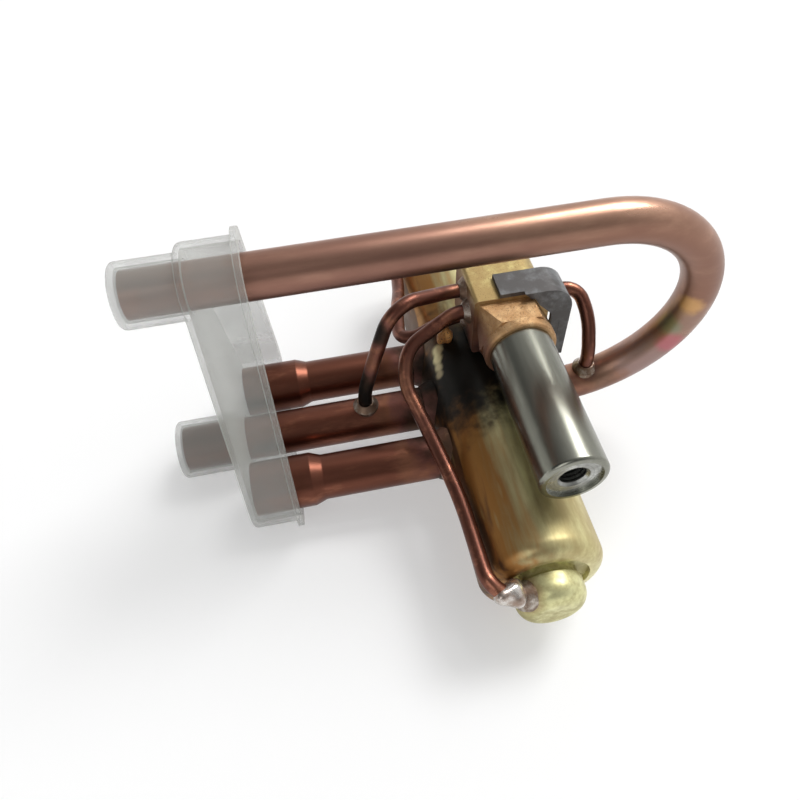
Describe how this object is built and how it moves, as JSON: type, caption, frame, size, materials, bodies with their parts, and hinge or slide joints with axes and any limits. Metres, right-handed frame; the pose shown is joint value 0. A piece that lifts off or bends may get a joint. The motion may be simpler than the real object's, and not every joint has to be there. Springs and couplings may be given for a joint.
{
  "type": "four-way reversing valve",
  "caption": "Reversing valve for a heat pump: a brass barrel with copper service tubes, a solenoid pilot valve and capillaries.",
  "frame": {"origin": "centre of the main barrel, on its axis, midway between its ends and in line with the discharge and suction tubes", "axes": "-Y towards the end where the coil goes, +Y along the barrel to the other end, -X the way the service tubes leave, +Z from the barrel to the pilot valve"},
  "size_m": [0.1139, 0.1036, 0.0705],
  "materials": {
    "valve_barrel": "satin",
    "end_cap": "satin",
    "port_seat": "satin",
    "copper_tube": "satin",
    "service_tube": "satin",
    "capillary": "satin",
    "pilot_body": "satin",
    "pilot_seat": "satin",
    "pilot_bracket": "satin",
    "plunger_sleeve": "polished",
    "fixed_core": "satin",
    "shading_ring": "satin",
    "pilot_plunger": "satin",
    "plunger_spring": "satin",
    "slider_carrier": "satin",
    "pilot_slider": "matte",
    "slide_block": "matte",
    "slide_frame": "satin",
    "piston_plate": "satin",
    "piston_cup": "matte",
    "cup_spring": "polished",
    "piston_screws": "satin",
    "tube_brazing": "satin",
    "capillary_brazing": "satin",
    "transport_cap": "translucent"
  },
  "bodies": {
    "valve": {"valve_barrel": "valve_barrel", "front_end_cap": "end_cap", "rear_end_cap": "end_cap", "port_seat": "port_seat", "discharge_tube": "copper_tube", "evaporator_tube": "service_tube", "suction_tube": "service_tube", "condenser_tube": "service_tube", "pilot_body": "pilot_body", "pilot_bracket": "pilot_bracket", "plunger_sleeve": "plunger_sleeve", "fixed_core": "fixed_core", "shading_ring": "shading_ring", "discharge_capillary": "capillary", "suction_capillary": "capillary", "front_capillary": "capillary", "rear_capillary": "capillary", "pilot_seat": "pilot_seat", "tube_brazing": "tube_brazing", "capillary_brazing": "capillary_brazing"},
    "shuttle": {"slide_block": "slide_block", "slide_frame": "slide_frame", "front_piston_plate": "piston_plate", "rear_piston_plate": "piston_plate", "front_piston_cup": "piston_cup", "rear_piston_cup": "piston_cup", "front_cup_spring": "cup_spring", "rear_cup_spring": "cup_spring", "piston_screws": "piston_screws"},
    "plunger": {"pilot_plunger": "pilot_plunger", "pilot_slider": "pilot_slider", "slider_carrier": "slider_carrier", "plunger_spring": "plunger_spring"},
    "cap": {"transport_cap": "transport_cap"}
  },
  "joints": [
    {"name": "main_slide", "type": "slide", "parent": "valve", "child": "shuttle", "axis": [0, 1, 0], "range_m": [0, 0.0134]},
    {"name": "plunger_slide", "type": "slide", "parent": "valve", "child": "plunger", "axis": [0, -1, 0], "range_m": [0, 0.0025], "stiffness_N_per_m": 300, "springref_m": -0.005, "deforming": ["plunger_spring"]},
    {"name": "cap_pull", "type": "slide", "parent": "valve", "child": "cap", "axis": [-1, 0, 0], "range_m": [0, 0.09]}
  ]
}
